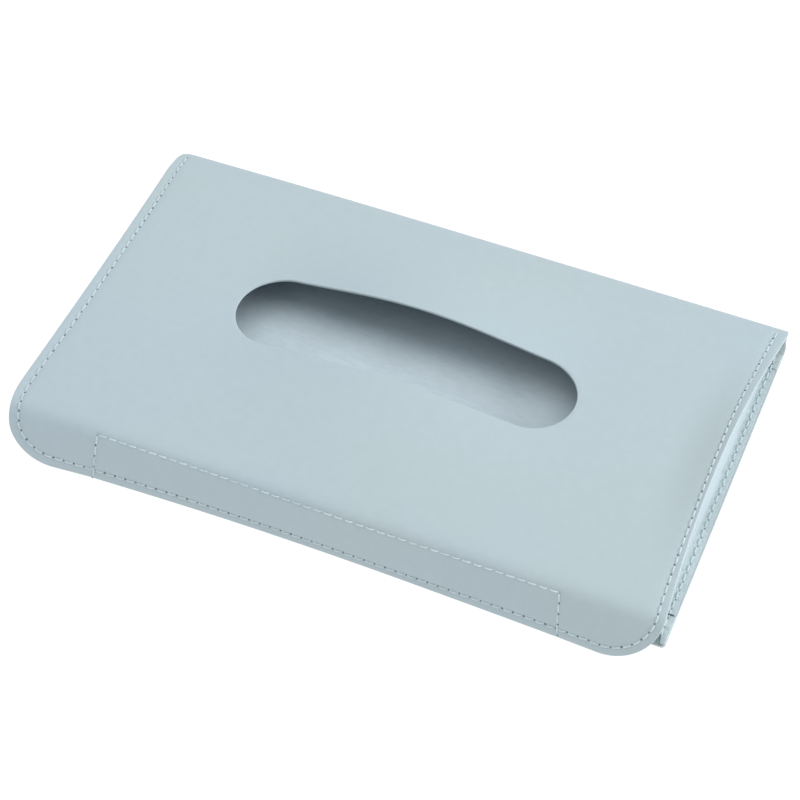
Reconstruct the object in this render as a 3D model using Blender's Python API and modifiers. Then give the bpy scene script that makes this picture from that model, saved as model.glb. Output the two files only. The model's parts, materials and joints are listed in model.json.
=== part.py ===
"""Flat tissue pouch for a car's sun visor, lying on its back with its cover and dispensing slot up.

One leather runs from the back panel round the fold, over the arched cover and down the closing flap.
Boards, linings, magnets, V-folded side gussets and two elastic bands complete it. Metres, +Z up, the fold
at +Y and the mouth at -Y, the origin under the middle of the whole pouch on the surface that it lies on.
"""
import math

import bmesh
import bpy
from mathutils import Matrix, Vector

# The leather's plan. Depths are measured from the line where the cover leaves the fold, towards the mouth.
WIDTH = 0.230
CREASE_DEPTH = 0.1321
FLAP_LENGTH = 0.0181
CORNER_RADIUS = 0.0191
BACK_MOUTH_INSET = 0.0012
SLOT_LENGTH = 0.1249
SLOT_WIDTH = 0.0310
SLOT_DEPTH = 0.0648

# The cover's form. The slot's lips are bowed up, the far one most, and the side edges are drawn in.
FOLD_HEIGHT = 0.0090
CREASE_HEIGHT = 0.0179
ARCH_RISE = 0.0059
FAR_LIP_LIFT = 0.0073
NEAR_LIP_LIFT = 0.0043
LIFT_BEYOND_SLOT = 0.00535
EDGE_ROLL = 0.0006
EDGE_PULL = 0.0036
CREASE_PULL = 0.0005
EDGE_ROLL_POWER = 5
LIFT_START_SLOPE = 0.10
FAR_LIP_SLOPE = 0.05
NEAR_LIP_SLOPE = -0.08
LIFT_END_SLOPE = -0.02

# The flap hangs steeply at its middle, where the magnets draw it in, and flares at its ends.
FLAP_MIDDLE_DEG = 74.7
FLAP_END_DEG = 57.6
CREASE_REACH = 0.0035

# Sheet thicknesses and the gap that neighbouring pieces keep.
LEATHER = 0.0010
BOARD = 0.0010
LINING = 0.0005
GUSSET = 0.0007
BAND = 0.0010
CLEAR = 0.0003

# Boards and linings, by how far they stop from the leather's edges.
LINER_SIDE_INSET = 0.010
BOARD_EXTRA_INSET = 0.002
LINER_FOLD_INSET = 0.007
LINER_MOUTH_INSET = 0.009
LINING_SLOT_MARGIN = 0.0015
BOARD_SLOT_MARGIN = 0.007

# Magnets and the sewn strips that hold them.
MAGNET_DIAMETER = 0.010
MAGNET_THICKNESS = 0.0010
MAGNET_END_INSET = 0.0215
POCKET_END_INSET = 0.0335
POCKET_WIDTH = 0.0140
POCKET_WALL = 0.0005
POCKET_EDGE_INSET = 0.0025

# V-folded side gussets.
GUSSET_START = 0.0115
GUSSET_MOUTH_INSET = 0.0094
FLANGE_OUTER_INSET = 0.0005
FLANGE_INNER_INSET = 0.0040
APEX_HALF_HEIGHT = 0.0004
COVER_OPEN_DEG = 7.5

# Elastic bands, which pass through slits in the back panel and are sewn down inside.
BAND_WIDTH = 0.028
BAND_SIDE_INSET = 0.041
BAND_TAIL = 0.011
BAND_BEND = 0.0006
TAIL_FOLD_GAP = 0.0004
TAIL_STRIP_GAP = 0.0038
SLIT_LENGTH_PLAY = 0.0010

# How finely curved sheets are divided, and how far cutters run past what they cut.
COLUMNS = 28
COVER_ROWS = 18
CREASE_ROWS = 4
FLAP_ROWS = 3
SPINE_ROWS = 12
GUSSET_ROWS = 18
ARC_STEPS = 10
MAGNET_SIDES = 24
OVERRUN = 0.004
PROBE = 0.00001
WELD = 0.00001
SHARP_DEG = 35
LEVEL_NORMAL_SHARE = 0.5

HALF_WIDTH = WIDTH / 2
BACK_DEPTH = CREASE_DEPTH - BACK_MOUTH_INSET
FRONT_DEPTH = CREASE_DEPTH + FLAP_LENGTH
BACK_BOTTOM = BAND + CLEAR
BACK_TOP = BACK_BOTTOM + LEATHER
INNER_LEVEL = BACK_TOP + CLEAR
LINING_LEVEL = INNER_LEVEL + BOARD + CLEAR
FOLD_SLOPE = (CREASE_HEIGHT - FOLD_HEIGHT + 4 * ARCH_RISE) / CREASE_DEPTH
FOLD_ANGLE = math.atan(FOLD_SLOPE)
SPINE_RADIUS = (FOLD_HEIGHT - BACK_BOTTOM) / (1 + math.cos(FOLD_ANGLE))
SPINE_Y = -SPINE_RADIUS * math.sin(FOLD_ANGLE)
SPINE_Z = BACK_BOTTOM + SPINE_RADIUS
SPINE_WRAP = math.pi - FOLD_ANGLE

BOARD_HALF = HALF_WIDTH - LINER_SIDE_INSET - BOARD_EXTRA_INSET
BOARD_FAR = LINER_FOLD_INSET + BOARD_EXTRA_INSET
POCKET_HALF = HALF_WIDTH - POCKET_END_INSET
POCKET_HEIGHT = MAGNET_THICKNESS + CLEAR + POCKET_WALL
BACK_POCKET_FAR = BACK_DEPTH - POCKET_EDGE_INSET - POCKET_WIDTH
MAGNET_SPACING = POCKET_HALF - MAGNET_END_INSET
MAGNET_SPOTS = (("left", -MAGNET_SPACING), ("middle", 0), ("right", MAGNET_SPACING))
BAND_CENTRE = HALF_WIDTH - BAND_SIDE_INSET - BAND_WIDTH / 2
FAR_SLIT_DEPTH = BOARD_FAR + TAIL_FOLD_GAP + BAND_TAIL + BAND_BEND
NEAR_SLIT_DEPTH = BACK_POCKET_FAR - TAIL_STRIP_GAP - BAND_TAIL - BAND_BEND
LIFT_HALF_SPAN = SLOT_LENGTH / 2 + LIFT_BEYOND_SLOT

COLOURS = {
    "leather": ((0.50, 0.61, 0.66, 1.0), 0.55, 0.0),
    "lining": ((0.42, 0.45, 0.46, 1.0), 0.95, 0.0),
    "board": ((0.33, 0.30, 0.26, 1.0), 0.85, 0.0),
    "elastic": ((0.03, 0.03, 0.035, 1.0), 0.9, 0.0),
    "magnet": ((0.55, 0.55, 0.56, 1.0), 0.3, 1.0),
}


def clear_scene():
    for found in list(bpy.data.objects):
        bpy.data.objects.remove(found)


def new_collection(name):
    made = bpy.data.collections.new(name)
    bpy.context.scene.collection.children.link(made)
    return made


def material(name):
    """The Principled material of one kind of stuff, made on first use."""
    found = bpy.data.materials.get(name)
    if found:
        return found
    colour, roughness, metallic = COLOURS[name]
    found = bpy.data.materials.new(name)
    found.use_nodes = True
    shader = found.node_tree.nodes["Principled BSDF"]
    shader.inputs["Base Color"].default_value = colour
    shader.inputs["Roughness"].default_value = roughness
    shader.inputs["Metallic"].default_value = metallic
    found.diffuse_color = colour
    return found


def hermite(value, knots):
    """Smooth curve through knots of (place, height, slope)."""
    for (a, ha, ma), (b, hb, mb) in zip(knots, knots[1:]):
        if value <= b:
            span = b - a
            t = min(max((value - a) / span, 0), 1)
            rise = ha * (1 + 2 * t) * (1 - t) ** 2 + hb * t * t * (3 - 2 * t)
            return rise + span * (ma * t * (1 - t) ** 2 - mb * t * t * (1 - t))
    return knots[-1][1]


LIFT_KNOTS = (
    (0, 0, LIFT_START_SLOPE),
    (SLOT_DEPTH - SLOT_WIDTH / 2, FAR_LIP_LIFT, FAR_LIP_SLOPE),
    (SLOT_DEPTH + SLOT_WIDTH / 2, NEAR_LIP_LIFT, NEAR_LIP_SLOPE),
    (CREASE_DEPTH, 0, LIFT_END_SLOPE),
)


def cover_point(x, depth):
    """Outer face of the arched cover, up to the crease's own corner line."""
    t = depth / CREASE_DEPTH
    bow = 4 * t * (1 - t)
    across = min(abs(x) / HALF_WIDTH, 1)
    drawn_in = EDGE_PULL * bow + CREASE_PULL * t
    height = FOLD_HEIGHT + (CREASE_HEIGHT - FOLD_HEIGHT) * t + ARCH_RISE * bow
    height += EDGE_ROLL * bow * (1 - across ** EDGE_ROLL_POWER)
    if abs(x) < LIFT_HALF_SPAN:
        crown = math.cos(math.pi / 2 * x / LIFT_HALF_SPAN) ** 2
        height += crown * hermite(depth, LIFT_KNOTS)
    return Vector((x * (1 - drawn_in / HALF_WIDTH), -depth, height))


def flap_point(x, beyond):
    """Outer face of the flap, at a distance beyond the crease's corner line."""
    across = min(abs(x) / HALF_WIDTH, 1)
    angle = math.radians(FLAP_MIDDLE_DEG + (FLAP_END_DEG - FLAP_MIDDLE_DEG) * across ** 2)
    corner = cover_point(x, CREASE_DEPTH)
    return corner + beyond * Vector((0, -math.cos(angle), -math.sin(angle)))


def front_surface(x, depth):
    """Cover, rounded crease and flap as one face."""
    start = CREASE_DEPTH - CREASE_REACH
    end = CREASE_DEPTH + CREASE_REACH
    if depth <= start:
        return cover_point(x, depth)
    if depth >= end:
        return flap_point(x, depth - CREASE_DEPTH)
    u = (depth - start) / (end - start)
    corner = cover_point(x, CREASE_DEPTH)
    return (
        cover_point(x, start) * (1 - u) ** 2
        + corner * 2 * u * (1 - u)
        + flap_point(x, CREASE_REACH) * u ** 2
    )


def spine_surface(x, depth):
    """Outer face of the fold: a depth of zero meets the cover, and negative depths go round to the back."""
    angle = SPINE_WRAP + depth / SPINE_RADIUS
    y = SPINE_Y + SPINE_RADIUS * math.sin(angle)
    z = SPINE_Z - SPINE_RADIUS * math.cos(angle)
    return Vector((x, y, z))


def normal_at(surface, x, depth):
    along = surface(x, depth + PROBE) - surface(x, depth - PROBE)
    across = surface(x + PROBE, depth) - surface(x - PROBE, depth)
    return along.cross(across).normalized()


def below(surface, x, depth, under):
    """Point that lies a distance under a sheet's outer face."""
    return surface(x, depth) - normal_at(surface, x, depth) * under


def arc(centre_x, centre_y, radius, start_deg, end_deg, steps=ARC_STEPS):
    """Points of an arc, with both ends."""
    turn = (math.radians(start_deg + (end_deg - start_deg) * k / steps) for k in range(steps + 1))
    return [(centre_x + radius * math.cos(a), centre_y + radius * math.sin(a)) for a in turn]


def front_outline():
    """Plan of the front leather, with its two round corners at the mouth and overrun at the fold."""
    x = HALF_WIDTH - CORNER_RADIUS
    y = -FRONT_DEPTH + CORNER_RADIUS
    right = arc(x, y, CORNER_RADIUS, 0, -90)
    left = arc(-x, y, CORNER_RADIUS, -90, -180)
    return [(HALF_WIDTH, OVERRUN), *right, *left, (-HALF_WIDTH, OVERRUN)]


def slot_outline(margin=0):
    """Round-ended slot, larger by a margin all round."""
    radius = SLOT_WIDTH / 2 + margin
    x = SLOT_LENGTH / 2 - SLOT_WIDTH / 2
    return arc(x, -SLOT_DEPTH, radius, -90, 90) + arc(-x, -SLOT_DEPTH, radius, 90, 270)


def rectangle(x, near, far, half_length):
    """Plan of a rectangle between two depths, centred on x."""
    left, right = x - half_length, x + half_length
    return [(left, -far), (right, -far), (right, -near), (left, -near)]


def mesh_of(made):
    """Evaluated mesh of an object with its loose caps welded."""
    bpy.context.view_layer.update()
    evaluated = made.evaluated_get(bpy.context.evaluated_depsgraph_get())
    mesh = bpy.data.meshes.new_from_object(evaluated)
    bm = bmesh.new()
    bm.from_mesh(mesh)
    bmesh.ops.remove_doubles(bm, verts=bm.verts, dist=WELD)
    bmesh.ops.recalc_face_normals(bm, faces=bm.faces)
    bm.to_mesh(mesh)
    bm.free()
    return mesh


def prism(name, outline, low, high):
    """Cutter with a flat outline, standing between two heights."""
    curve = bpy.data.curves.new(name, "CURVE")
    curve.dimensions = "2D"
    curve.fill_mode = "BOTH"
    curve.extrude = (high - low) / 2
    spline = curve.splines.new("POLY")
    spline.points.add(len(outline) - 1)
    for point, (x, y) in zip(spline.points, outline):
        point.co = (x, y, 0, 1)
    spline.use_cyclic_u = True
    drawn = bpy.data.objects.new(name, curve)
    cutters.objects.link(drawn)
    mesh = mesh_of(drawn)
    bpy.data.objects.remove(drawn)
    cutter = bpy.data.objects.new(name, mesh)
    cutter.location.z = (high + low) / 2
    cutter.hide_render = True
    cutter.display_type = "WIRE"
    cutters.objects.link(cutter)
    return cutter


def magnet_recess(x, depth):
    """Round outline of a magnet's recess, with the clearance round the magnet."""
    return arc(x, -depth, MAGNET_DIAMETER / 2 + CLEAR, 0, 360, MAGNET_SIDES)[:-1]


def add_boolean(made, cutter, operation):
    cut = made.modifiers.new(cutter.name, "BOOLEAN")
    cut.operation = operation
    cut.solver = "EXACT"
    cut.object = cutter


def shear_split(bm):
    """Splits each level quad along the same diagonal, so that sheets laid over each other stay parallel."""
    for face in list(bm.faces):
        if len(face.verts) != 4 or abs(face.normal.z) < LEVEL_NORMAL_SHARE:
            continue
        ordered = sorted(face.verts, key=lambda v: v.co.x + v.co.y)
        low, high = ordered[0], ordered[-1]
        if not any(low in edge.verts and high in edge.verts for edge in face.edges):
            bmesh.utils.face_split(face, low, high)


def finish(name, mesh, kind, parent, offset):
    """Makes the part's object from a mesh in the pouch's own coordinates, carried by an empty."""
    mesh.transform(Matrix.Translation(-offset))
    mesh.name = name
    mesh.materials.clear()
    mesh.materials.append(material(kind))
    mesh.shade_smooth()
    mesh.set_sharp_from_angle(angle=math.radians(SHARP_DEG))
    made = bpy.data.objects.new(name, mesh)
    made.parent = parent
    parts.objects.link(made)
    return made


def sheet(name, kind, carrier, half_length, near, far, under, thickness, rows, surface,
          kept=None, cuts=(), cut_between=None):
    """A sheet cut flat between two depths, in a number of rows, then formed under a surface.

    An outline may be kept and others cut, right through or between two distances under the sheet's top.
    """
    columns = COLUMNS if rows > 1 else 1
    bm = bmesh.new()
    bmesh.ops.create_grid(bm, x_segments=columns, y_segments=rows, size=1)
    middle = (near + far) / 2
    for vert in bm.verts:
        vert.co = Vector((vert.co.x * half_length, -middle + vert.co.y * (far - near) / 2, -under))
    flat = bpy.data.meshes.new(name + "_flat")
    bm.to_mesh(flat)
    bm.free()
    blank = bpy.data.objects.new(name + "_blank", flat)
    cutters.objects.link(blank)
    skin = blank.modifiers.new("thickness", "SOLIDIFY")
    skin.thickness = thickness
    skin.offset = -1
    start, end = cut_between or (-OVERRUN, thickness + OVERRUN)
    if kept:
        outline = prism(name + "_outline", kept, -under - thickness - OVERRUN, -under + OVERRUN)
        add_boolean(blank, outline, "INTERSECT")
    for number, cut in enumerate(cuts):
        add_boolean(blank, prism(f"{name}_cut_{number}", cut, -under - end, -under - start), "DIFFERENCE")
    mesh = mesh_of(blank)
    bpy.data.objects.remove(blank)
    bm = bmesh.new()
    bm.from_mesh(mesh)
    if rows > 1:
        shear_split(bm)
    for vert in bm.verts:
        vert.co = below(surface, vert.co.x, -vert.co.y, -vert.co.z)
    bm.to_mesh(mesh)
    bm.free()
    empty, offset = carrier
    return finish(name, mesh, kind, empty, offset)


def flat_surface(level):
    """A level face at a height, for the sheets of the back."""
    return lambda x, depth: Vector((x, -depth, level))


def ribbon(name, kind, carrier, section_at, stations, thickness):
    """Solid strip from a section of points at each station, thickened about its middle."""
    sections = [section_at(station) for station in stations]
    bm = bmesh.new()
    bmesh.ops.create_grid(bm, x_segments=len(sections[0]) - 1, y_segments=len(sections) - 1, size=1)
    for vert in bm.verts:
        column = round((vert.co.x + 1) / 2 * (len(sections[0]) - 1))
        row = round((vert.co.y + 1) / 2 * (len(sections) - 1))
        vert.co = sections[row][column]
    mesh = bpy.data.meshes.new(name + "_strip")
    bm.to_mesh(mesh)
    bm.free()
    strip = bpy.data.objects.new(name + "_strip", mesh)
    cutters.objects.link(strip)
    skin = strip.modifiers.new("thickness", "SOLIDIFY")
    skin.thickness = thickness
    skin.offset = 0
    skin.use_even_offset = True
    solid = mesh_of(strip)
    bpy.data.objects.remove(strip)
    empty, offset = carrier
    return finish(name, solid, kind, empty, offset)


def gusset_section(side, depth):
    """Section of a gusset at one depth: a flange under the cover, the inward V, a flange on the back."""
    under = LEATHER + CLEAR + GUSSET / 2
    outer = HALF_WIDTH - FLANGE_OUTER_INSET
    inner = HALF_WIDTH - FLANGE_INNER_INSET
    top_outer = below(front_surface, outer, depth, under)
    top_inner = below(front_surface, inner, depth, under)
    level = INNER_LEVEL + GUSSET / 2
    foot_outer = Vector((outer, -depth, level))
    foot_inner = Vector((inner, -depth, level))
    gap = top_inner.z - foot_inner.z
    leaf = (gap + depth * math.tan(math.radians(COVER_OPEN_DEG))) / 2
    inward = math.sqrt(leaf ** 2 - (gap / 2) ** 2)
    apex = (top_inner + foot_inner) / 2 - Vector((inward, 0, 0))
    blunt = Vector((0, 0, APEX_HALF_HEIGHT))
    points = [top_outer, top_inner, apex + blunt, apex - blunt, foot_inner, foot_outer]
    return [Vector((side * p.x, p.y, p.z)) for p in points]


def band_section(centre):
    """Route of one elastic band across the depth: tail, slit, the long outer run, slit, tail."""
    inside = INNER_LEVEL + BAND / 2
    outside = BAND / 2
    far, near = FAR_SLIT_DEPTH, NEAR_SLIT_DEPTH
    route = [
        (far - BAND_BEND - BAND_TAIL, inside),
        (far - BAND_BEND, inside),
        (far, inside - BAND_BEND),
        (far, outside + BAND_BEND),
        (far + BAND_BEND, outside),
        (near - BAND_BEND, outside),
        (near, outside + BAND_BEND),
        (near, inside - BAND_BEND),
        (near + BAND_BEND, inside),
        (near + BAND_BEND + BAND_TAIL, inside),
    ]
    return lambda side: [Vector((centre + side * BAND_WIDTH / 2, -depth, z)) for depth, z in route]


def magnet(name, carrier, place, normal):
    """Disc magnet with its outer face at a place, facing along a normal."""
    bm = bmesh.new()
    radius = MAGNET_DIAMETER / 2
    bmesh.ops.create_cone(
        bm, cap_ends=True, segments=MAGNET_SIDES, radius1=radius, radius2=radius, depth=MAGNET_THICKNESS
    )
    mesh = bpy.data.meshes.new(name)
    bm.to_mesh(mesh)
    bm.free()
    empty, offset = carrier
    made = finish(name, mesh, "magnet", empty, Vector((0, 0, 0)))
    made.location = place - normal * MAGNET_THICKNESS / 2 - offset
    made.rotation_euler = normal.to_track_quat("Z", "Y").to_euler()
    return made


def build_back():
    """Back panel with its slits, board with notches for the bands' tails, lining and magnet strip."""
    slit_half = (BAND_WIDTH + SLIT_LENGTH_PLAY) / 2
    slit_reach = BAND / 2 + CLEAR
    slits = [
        rectangle(side * BAND_CENTRE, depth - slit_reach, depth + slit_reach, slit_half)
        for side in (-1, 1)
        for depth in (FAR_SLIT_DEPTH, NEAR_SLIT_DEPTH)
    ]
    sheet("back_panel", "leather", back, HALF_WIDTH, CLEAR - SPINE_Y, BACK_DEPTH, 0, LEATHER, 1,
          flat_surface(BACK_TOP), cuts=slits)

    near_tail_end = NEAR_SLIT_DEPTH + BAND_BEND + BAND_TAIL
    notches = []
    for side in (-1, 1):
        x = side * BAND_CENTRE
        notches.append(rectangle(x, BOARD_FAR - OVERRUN, FAR_SLIT_DEPTH + slit_reach, slit_half))
        notches.append(rectangle(x, NEAR_SLIT_DEPTH - slit_reach, near_tail_end + OVERRUN, slit_half))
    sheet("back_stiffener", "board", back, BOARD_HALF, BOARD_FAR, BACK_POCKET_FAR - BOARD_EXTRA_INSET, 0,
          BOARD, 1, flat_surface(INNER_LEVEL + BOARD), cuts=notches)
    sheet("back_lining", "lining", back, HALF_WIDTH - LINER_SIDE_INSET, LINER_FOLD_INSET,
          BACK_POCKET_FAR - CLEAR, 0, LINING, 1, flat_surface(LINING_LEVEL + LINING))

    near_edge = BACK_POCKET_FAR + POCKET_WIDTH
    middle = (BACK_POCKET_FAR + near_edge) / 2
    sheet("back_magnet_pocket", "leather", back, POCKET_HALF, BACK_POCKET_FAR, near_edge, 0,
          POCKET_HEIGHT, 1, flat_surface(INNER_LEVEL + POCKET_HEIGHT),
          cuts=[magnet_recess(x, middle) for _, x in MAGNET_SPOTS],
          cut_between=(POCKET_WALL, POCKET_HEIGHT + OVERRUN))
    for spot, x in MAGNET_SPOTS:
        place = Vector((x, -middle, INNER_LEVEL + MAGNET_THICKNESS))
        magnet(f"back_magnet_{spot}", back, place, Vector((0, 0, 1)))


def build_bands():
    for name, side in (("left", -1), ("right", 1)):
        ribbon(f"visor_band_{name}", "elastic", back, band_section(side * BAND_CENTRE), (-1, 1), BAND)


def build_spine_and_gussets():
    sheet("spine_fold", "leather", back, HALF_WIDTH, -SPINE_RADIUS * SPINE_WRAP, 0, 0, LEATHER, SPINE_ROWS,
          spine_surface)
    run = BACK_DEPTH - GUSSET_MOUTH_INSET - GUSSET_START
    steps = [GUSSET_START + run * k / GUSSET_ROWS for k in range(GUSSET_ROWS + 1)]
    for name, side in (("left", -1), ("right", 1)):
        ribbon(f"{name}_gusset", "leather", back, lambda depth: gusset_section(side, depth), steps, GUSSET)


def build_cover():
    end = CREASE_DEPTH - CREASE_REACH
    sheet("front_panel", "leather", cover, HALF_WIDTH, CLEAR, end, 0, LEATHER, COVER_ROWS, front_surface,
          cuts=[slot_outline()])
    lining_near = CREASE_DEPTH - LINER_MOUTH_INSET
    board_under = LEATHER + CLEAR
    sheet("front_stiffener", "board", cover, BOARD_HALF, BOARD_FAR, lining_near - BOARD_EXTRA_INSET,
          board_under, BOARD, COVER_ROWS, front_surface, cuts=[slot_outline(BOARD_SLOT_MARGIN)])
    sheet("front_lining", "lining", cover, HALF_WIDTH - LINER_SIDE_INSET, LINER_FOLD_INSET, lining_near,
          board_under + BOARD + CLEAR, LINING, COVER_ROWS, front_surface,
          cuts=[slot_outline(LINING_SLOT_MARGIN)])
    sheet("flap_crease", "leather", cover, HALF_WIDTH + OVERRUN, end + CLEAR,
          CREASE_DEPTH + CREASE_REACH - CLEAR, 0, LEATHER, CREASE_ROWS, front_surface, kept=front_outline())


def build_flap():
    near = CREASE_DEPTH + CREASE_REACH
    far = FRONT_DEPTH - POCKET_EDGE_INSET
    sheet("closing_flap", "leather", flap, HALF_WIDTH + OVERRUN, near, FRONT_DEPTH + OVERRUN, 0, LEATHER,
          FLAP_ROWS, front_surface, kept=front_outline())
    under = LEATHER + CLEAR
    middle = (near + far) / 2
    sheet("flap_magnet_pocket", "leather", flap, POCKET_HALF, near, far, under, POCKET_HEIGHT, FLAP_ROWS,
          front_surface, cuts=[magnet_recess(x, middle) for _, x in MAGNET_SPOTS],
          cut_between=(-OVERRUN, POCKET_HEIGHT - POCKET_WALL))
    for spot, x in MAGNET_SPOTS:
        normal = normal_at(front_surface, x, middle)
        magnet(f"flap_magnet_{spot}", flap, below(front_surface, x, middle, under), normal)


def reach(made, axis, pick):
    """Furthest coordinate of an object along one axis, in the pouch's own coordinates."""
    return pick((made.matrix_world @ vert.co)[axis] for vert in made.data.vertices)


def carrier_at(name, place, parent=None, parent_place=None):
    """Empty on a joint's axis, with the place that its pieces' meshes are shifted by."""
    empty = bpy.data.objects.new(name, None)
    empty.location = place - (parent_place or Vector((0, 0, 0)))
    empty.parent = parent
    parts.objects.link(empty)
    return empty, place


clear_scene()
parts = new_collection("visor_tissue_pouch")
cutters = new_collection("cutters")
back = carrier_at("pouch", Vector((0, 0, 0)))
cover = carrier_at("cover_axis", Vector((0, SPINE_Y, SPINE_Z)), back[0], back[1])
flap = carrier_at("flap_axis", cover_point(0, CREASE_DEPTH), cover[0], cover[1])

build_back()
build_bands()
build_spine_and_gussets()
build_cover()
build_flap()

bpy.context.view_layer.update()
far_side = reach(bpy.data.objects["spine_fold"], 1, max)
near_side = reach(bpy.data.objects["closing_flap"], 1, min)
back[0].location.y = -(far_side + near_side) / 2
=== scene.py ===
"""Looks of a flat leather tissue pouch for a car's sun visor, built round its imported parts.

One leather makes the cover, the flap, the fold and the back. Its face has a plan: x runs across, and v runs
along the leather. v is zero where the cover leaves the fold, negative over the cover and down the flap, and
positive round the fold and along the back. Metres, +Z up, as the frame has them.
"""
import json
import math
import random

import bpy
import numpy as np
from mathutils import Matrix, Vector
from mathutils.geometry import delaunay_2d_cdt
from mathutils.kdtree import KDTree


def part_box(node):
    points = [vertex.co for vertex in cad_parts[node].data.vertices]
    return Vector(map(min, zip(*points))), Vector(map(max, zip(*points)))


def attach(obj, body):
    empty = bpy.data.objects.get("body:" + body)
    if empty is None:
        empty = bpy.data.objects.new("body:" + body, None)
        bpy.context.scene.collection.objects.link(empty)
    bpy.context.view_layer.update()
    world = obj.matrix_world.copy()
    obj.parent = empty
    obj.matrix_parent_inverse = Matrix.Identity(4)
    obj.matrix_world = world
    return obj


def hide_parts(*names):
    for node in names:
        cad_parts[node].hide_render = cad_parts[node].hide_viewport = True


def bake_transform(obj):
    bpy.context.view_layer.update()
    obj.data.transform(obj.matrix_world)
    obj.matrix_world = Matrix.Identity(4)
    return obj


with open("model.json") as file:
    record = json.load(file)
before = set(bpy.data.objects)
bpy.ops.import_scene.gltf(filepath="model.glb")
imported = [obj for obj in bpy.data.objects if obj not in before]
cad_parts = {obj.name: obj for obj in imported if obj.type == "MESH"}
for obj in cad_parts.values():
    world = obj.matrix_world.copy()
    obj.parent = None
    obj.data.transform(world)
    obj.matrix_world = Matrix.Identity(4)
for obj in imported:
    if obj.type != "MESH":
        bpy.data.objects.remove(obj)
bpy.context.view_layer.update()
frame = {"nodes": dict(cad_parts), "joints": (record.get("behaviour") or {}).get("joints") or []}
JOINTS = {joint["name"]: joint for joint in frame["joints"]}

# The leather's plan and the cover's form, as the parts have them.
HALF_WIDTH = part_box("back_panel")[1].x
CREASE_DEPTH = 0.1321
FLAP_LENGTH = 0.0181
CORNER_RADIUS = 0.0191
BACK_MOUTH_INSET = 0.0012
SLOT_LENGTH = 0.1249
SLOT_WIDTH = 0.0310
SLOT_DEPTH = 0.0648
FOLD_HEIGHT = 0.0090
CREASE_HEIGHT = JOINTS["flap_hinge"]["pos_m"][2]
ARCH_RISE = 0.0059
FAR_LIP_LIFT = 0.0073
NEAR_LIP_LIFT = 0.0043
LIFT_BEYOND_SLOT = 0.00535
EDGE_ROLL = 0.0006
EDGE_PULL = 0.0036
CREASE_PULL = 0.0005
EDGE_ROLL_POWER = 5
FLAP_MIDDLE_DEG = 74.7
FLAP_END_DEG = 57.6
CREASE_REACH = 0.0035

# Sheets and clearances.
LEATHER = 0.0010
BOARD = 0.0010
LINING = 0.0005
GUSSET = 0.0007
BAND = 0.0010
CLEAR = 0.0003
LINER_SIDE_INSET = 0.010
LINER_FOLD_INSET = 0.007
LINER_MOUTH_INSET = 0.009
LINING_SLOT_MARGIN = 0.0035
POCKET_END_INSET = 0.0335
POCKET_WIDTH = 0.0140
POCKET_EDGE_INSET = 0.0025
POCKET_HEIGHT = 0.0018
MAGNET_END_INSET = 0.0215
BAND_WIDTH = 0.028
BAND_SIDE_INSET = 0.041
BAND_TAIL = 0.011
BAND_BEND = 0.0006
FAR_SLIT_DEPTH = 0.021
TAIL_GAP = 0.0038
SLIT_LENGTH = BAND_WIDTH + 0.001
SLIT_WIDTH = BAND + 2 * CLEAR

# The gussets end at their bar tacks, 2.2 mm short of the parts' own end. Their flanges run on at both ends.
GUSSET_START = 0.0115
GUSSET_MOUTH_INSET = 0.0116
FLANGE_START = 0.0045
FLANGE_OUTER_INSET = 0.0005
FLANGE_INNER_INSET = 0.0040
FLANGE_TIP_INSET = 0.0018
TONGUE_OUTER_INSET = 0.0001
APEX_HALF_HEIGHT = 0.0004
COVER_OPEN_DEG = JOINTS["cover_hinge"]["range_deg"][1]

BACK_DEPTH = CREASE_DEPTH - BACK_MOUTH_INSET
FRONT_DEPTH = CREASE_DEPTH + FLAP_LENGTH
BACK_BOTTOM = BAND + CLEAR
BACK_TOP = BACK_BOTTOM + LEATHER
INNER_LEVEL = BACK_TOP + CLEAR
LINING_LEVEL = INNER_LEVEL + BOARD + CLEAR
FOLD_ANGLE = math.atan((CREASE_HEIGHT - FOLD_HEIGHT + 4 * ARCH_RISE) / CREASE_DEPTH)
SPINE_RADIUS = (FOLD_HEIGHT - BACK_BOTTOM) / (1 + math.cos(FOLD_ANGLE))
SPINE_Y = -SPINE_RADIUS * math.sin(FOLD_ANGLE)
SPINE_Z = BACK_BOTTOM + SPINE_RADIUS
SPINE_WRAP = math.pi - FOLD_ANGLE
SPINE_LENGTH = SPINE_RADIUS * SPINE_WRAP
BACK_END = SPINE_LENGTH + BACK_DEPTH + SPINE_Y
SHIFT_Y = JOINTS["cover_hinge"]["pos_m"][1] - SPINE_Y

# How much cut edges and corners are rounded.
CUT_ROUNDING = 0.00028
THIN_ROUNDING = 0.0002
STRIP_ROUNDING = 0.0005
BACK_CORNER = 0.0012
LINING_CORNER = 0.002
STRIP_CORNER = 0.0015

# How softly the gussets' and the webbing's sections bend, and the most of a side that a bend takes.
FLANGE_BEND = 0.0012
WEBBING_BEND = 0.0011
BEND_SHARE = 0.49

# Seams: how far inside the edge they run, their stitches, and how they pinch the leather. Gap, slant, bow,
# taper, spread and shift are shares.
SEAM_INSET = 0.0034
SEAM_START = 0.0008
BORDER_INSET = 0.0023
BORDER_START = 0.0040
STITCH_PITCH = 0.0037
STITCH_GAP = 0.09
STITCH_SLANT = 0.45
STITCH_BOW = 0.25
STITCH_TAPER = 0.93
STITCH_SPREAD = 0.06
PATCH_SPREAD = 0.35
THREAD_HALF_WIDTH = 0.00027
THREAD_HALF_HEIGHT = 0.00020
THREAD_LIFT = 0.00016
THREAD_SINK = 0.00042
BAR_LIFT = 2
HOLE_RADIUS = 0.00042
HOLE_SPREAD = (0.8, 1.1)
HOLE_SHIFT = 0.35
HOLE_RIM = 0.00001
HOLE_LID = 0.00003
HOLE_PIT = -0.0003
GROOVE_DEPTH = 0.00021
GROOVE_WIDTH = 0.0016
PINCH_DEPTH = 0.00012
PINCH_WIDTH = 0.0008

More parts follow.
